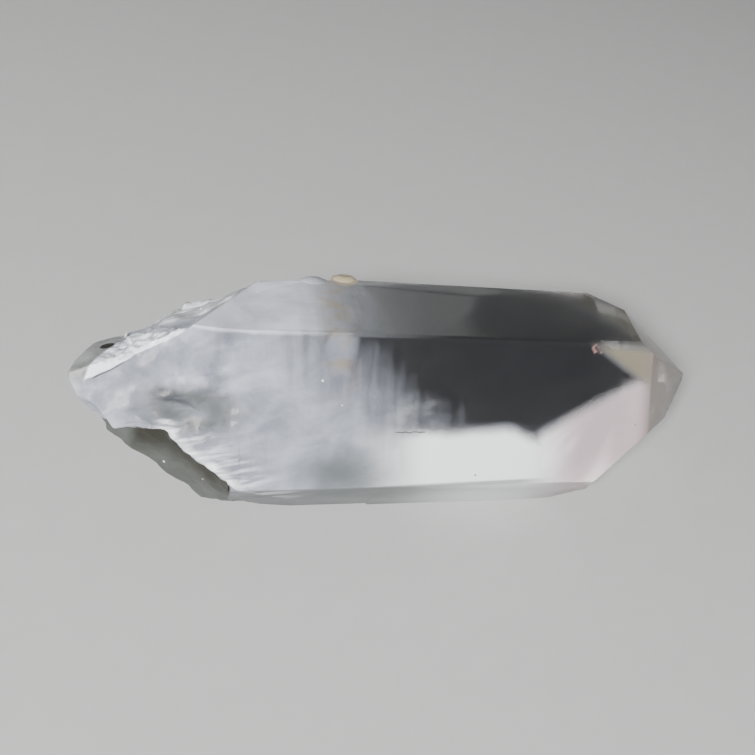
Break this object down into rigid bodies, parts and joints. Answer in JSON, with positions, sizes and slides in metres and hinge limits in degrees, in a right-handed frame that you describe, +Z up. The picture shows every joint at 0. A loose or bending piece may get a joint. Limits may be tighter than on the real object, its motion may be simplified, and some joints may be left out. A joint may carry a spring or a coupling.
{
  "type": "quartz crystal",
  "caption": "Loose clear quartz crystal: a six-sided prism with a natural point at one end and a stepped, broken root at the other, lying on one prism face.",
  "frame": {"origin": "middle of the footprint on the plane that the crystal rests on", "axes": "+X along the crystal towards its point, +Y to the back, +Z up from the resting face"},
  "size_m": [0.0804, 0.0266, 0.0244],
  "materials": {
    "quartz": "natural crystal faces, clear towards the point and milky towards the broken end"
  },
  "bodies": {
    "root": {"quartz_crystal": "quartz"}
  },
  "joints": []
}
